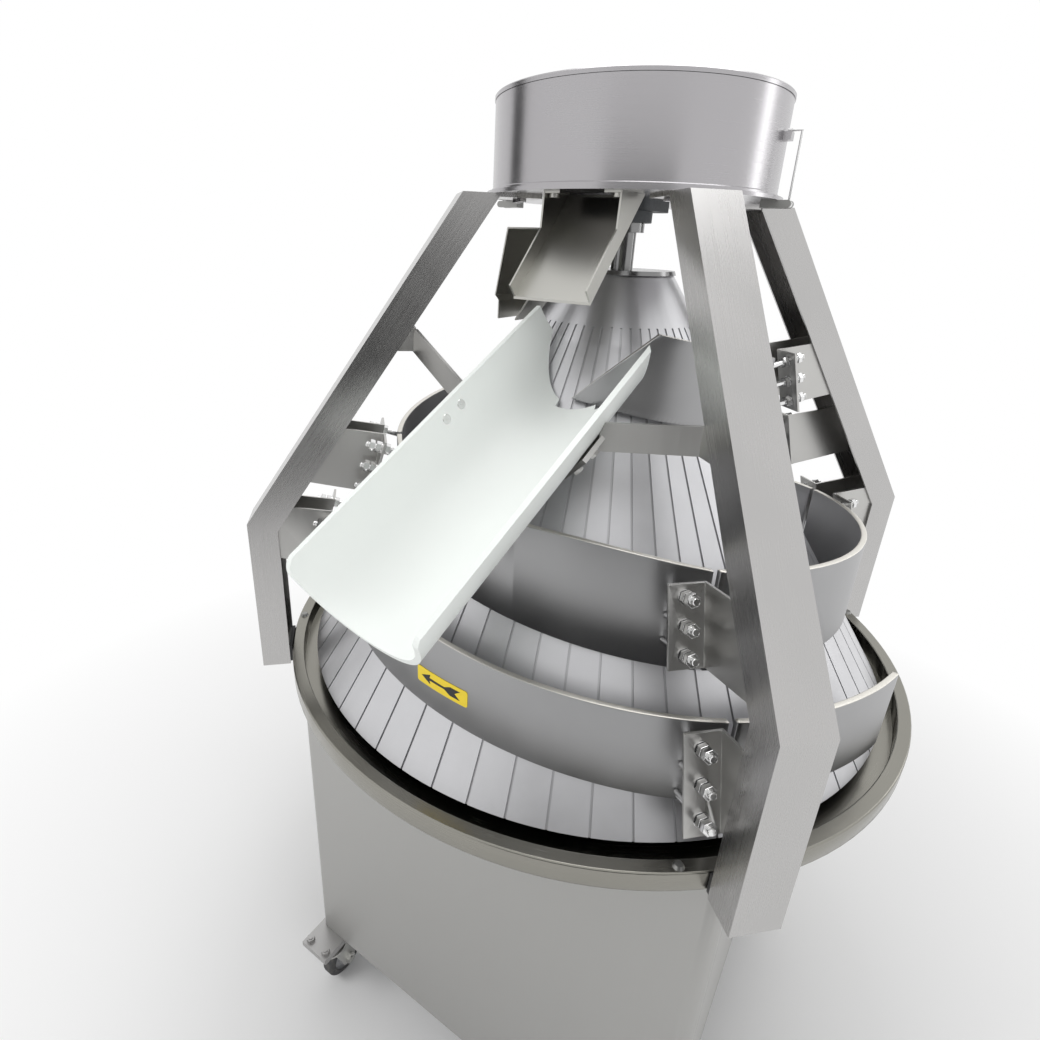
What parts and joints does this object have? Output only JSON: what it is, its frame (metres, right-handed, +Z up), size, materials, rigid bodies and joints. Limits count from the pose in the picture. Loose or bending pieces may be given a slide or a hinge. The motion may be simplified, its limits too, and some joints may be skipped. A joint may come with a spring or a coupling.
{
  "type": "dough rounder",
  "caption": "Conical dough rounder: grooved cone turning inside spiral tracks on a cabinet with casters, with flour drum, trough and discharge chute.",
  "frame": {"origin": "on the floor under the cone's axis", "axes": "+Z up along the cone's axis, front with the discharge chute towards -Y"},
  "size_m": [0.8999, 0.9614, 1.4583],
  "materials": {
    "steel": "brushed stainless sheet",
    "panel": "fine matt stainless sheet",
    "cast": "satin turned",
    "band": "satin, smooth",
    "white_plastic": "satin food-grade plastic",
    "fastener": "bright stainless",
    "dark_iron": "painted casting",
    "motor_paint": "satin paint",
    "belt_rubber": "matt",
    "black_plastic": "matt",
    "wheel": "matt tread",
    "box_gray": "fine texture paint",
    "green": "gloss",
    "red": "gloss"
  },
  "bodies": {
    "stand": {"foot_bars": "steel", "caster_plates": "steel", "frame_tubes": "steel", "front_panel": "panel", "rear_panel": "panel", "left_panel": "panel", "right_panel": "panel", "drive_plate": "steel", "gearmotor": "motor_paint", "drive_belt": "belt_rubber", "shaft_bearings": "dark_iron", "base_pan": "steel", "arm_front_left": "steel", "arm_front_right": "steel", "arm_rear_right": "steel", "arm_rear_left": "steel", "arm_feet": "steel", "arm_pads": "black_plastic", "track_a0": "band", "track_a1": "band", "track_a2": "band", "track_a3": "band", "track_b1": "band", "track_b2": "band", "track_b3": "band", "track_b4": "band", "track_b5": "band", "track_b6": "band", "track_brackets": "steel", "track_studs": "fastener", "discharge_chute": "white_plastic", "chute_supports": "steel", "hopper_plate": "steel", "top_bearing": "dark_iron", "flour_drum": "steel", "flour_trough": "steel", "rear_spout": "steel", "latch_clevises": "steel", "control_box": "box_gray"},
    "cone_rotor": {"driven_pulley": "dark_iron", "main_shaft": "steel", "cone_spider": "dark_iron", "cone": "cast", "cone_cap": "steel", "agitator": "steel"},
    "motor_pulley": {"drive_pulley": "dark_iron"},
    "fork_fl": {"caster_fork_fl": "steel"},
    "wheel_fl": {"caster_wheel_fl": "wheel"},
    "fork_fr": {"caster_fork_fr": "steel"},
    "wheel_fr": {"caster_wheel_fr": "wheel"},
    "fork_rl": {"caster_fork_rl": "steel"},
    "wheel_rl": {"caster_wheel_rl": "wheel"},
    "fork_rr": {"caster_fork_rr": "steel"},
    "wheel_rr": {"caster_wheel_rr": "wheel"},
    "lid": {"drum_lid": "steel"},
    "hook_right": {"latch_hook_right": "fastener"},
    "hook_left": {"latch_hook_left": "fastener"},
    "start": {"start_button": "green"},
    "stop": {"stop_button": "red"},
    "emergency": {"emergency_stop": "red"}
  },
  "joints": [
    {"name": "cone_spin", "type": "hinge", "parent": "stand", "child": "cone_rotor", "pos_m": [0, 0, 1], "axis": [0, 0, -1], "continuous": true},
    {"name": "motor_spin", "type": "hinge", "parent": "stand", "child": "motor_pulley", "pos_m": [-0.19, 0, 0.56], "axis": [0, 0, -1], "continuous": true},
    {"name": "swivel_fl", "type": "hinge", "parent": "stand", "child": "fork_fl", "pos_m": [-0.289, -0.325, 0.09], "axis": [0, 0, 1], "continuous": true},
    {"name": "roll_fl", "type": "hinge", "parent": "fork_fl", "child": "wheel_fl", "pos_m": [-0.289, -0.299, 0.04], "axis": [1, 0, 0], "continuous": true},
    {"name": "swivel_fr", "type": "hinge", "parent": "stand", "child": "fork_fr", "pos_m": [0.289, -0.325, 0.09], "axis": [0, 0, 1], "continuous": true},
    {"name": "roll_fr", "type": "hinge", "parent": "fork_fr", "child": "wheel_fr", "pos_m": [0.289, -0.299, 0.04], "axis": [1, 0, 0], "continuous": true},
    {"name": "swivel_rl", "type": "hinge", "parent": "stand", "child": "fork_rl", "pos_m": [-0.289, 0.325, 0.09], "axis": [0, 0, 1], "continuous": true},
    {"name": "roll_rl", "type": "hinge", "parent": "fork_rl", "child": "wheel_rl", "pos_m": [-0.289, 0.299, 0.04], "axis": [1, 0, 0], "continuous": true},
    {"name": "swivel_rr", "type": "hinge", "parent": "stand", "child": "fork_rr", "pos_m": [0.289, 0.325, 0.09], "axis": [0, 0, 1], "continuous": true},
    {"name": "roll_rr", "type": "hinge", "parent": "fork_rr", "child": "wheel_rr", "pos_m": [0.289, 0.299, 0.04], "axis": [1, 0, 0], "continuous": true},
    {"name": "lid_lift", "type": "slide", "parent": "stand", "child": "lid", "axis": [0, 0, 1], "range_m": [0, 0.15]},
    {"name": "hook_swing_right", "type": "hinge", "parent": "stand", "child": "hook_right", "pos_m": [0.187, 0, 1.348], "axis": [0, 1, 0], "range_deg": [0, 110]},
    {"name": "hook_swing_left", "type": "hinge", "parent": "stand", "child": "hook_left", "pos_m": [-0.187, 0, 1.348], "axis": [0, -1, 0], "range_deg": [0, 110]},
    {"name": "start_press", "type": "slide", "parent": "stand", "child": "start", "axis": [1, 0, 0], "range_m": [0, 0.004], "stiffness_N_per_m": 500, "springref_m": -0.002},
    {"name": "stop_press", "type": "slide", "parent": "stand", "child": "stop", "axis": [1, 0, 0], "range_m": [0, 0.004], "stiffness_N_per_m": 500, "springref_m": -0.002},
    {"name": "emergency_press", "type": "slide", "parent": "stand", "child": "emergency", "axis": [1, 0, 0], "range_m": [0, 0.004], "stiffness_N_per_m": 900, "springref_m": -0.002}
  ],
  "couplings": [
    {"joint": "motor_spin", "follows": "cone_spin", "ratio": 2.8806}
  ]
}
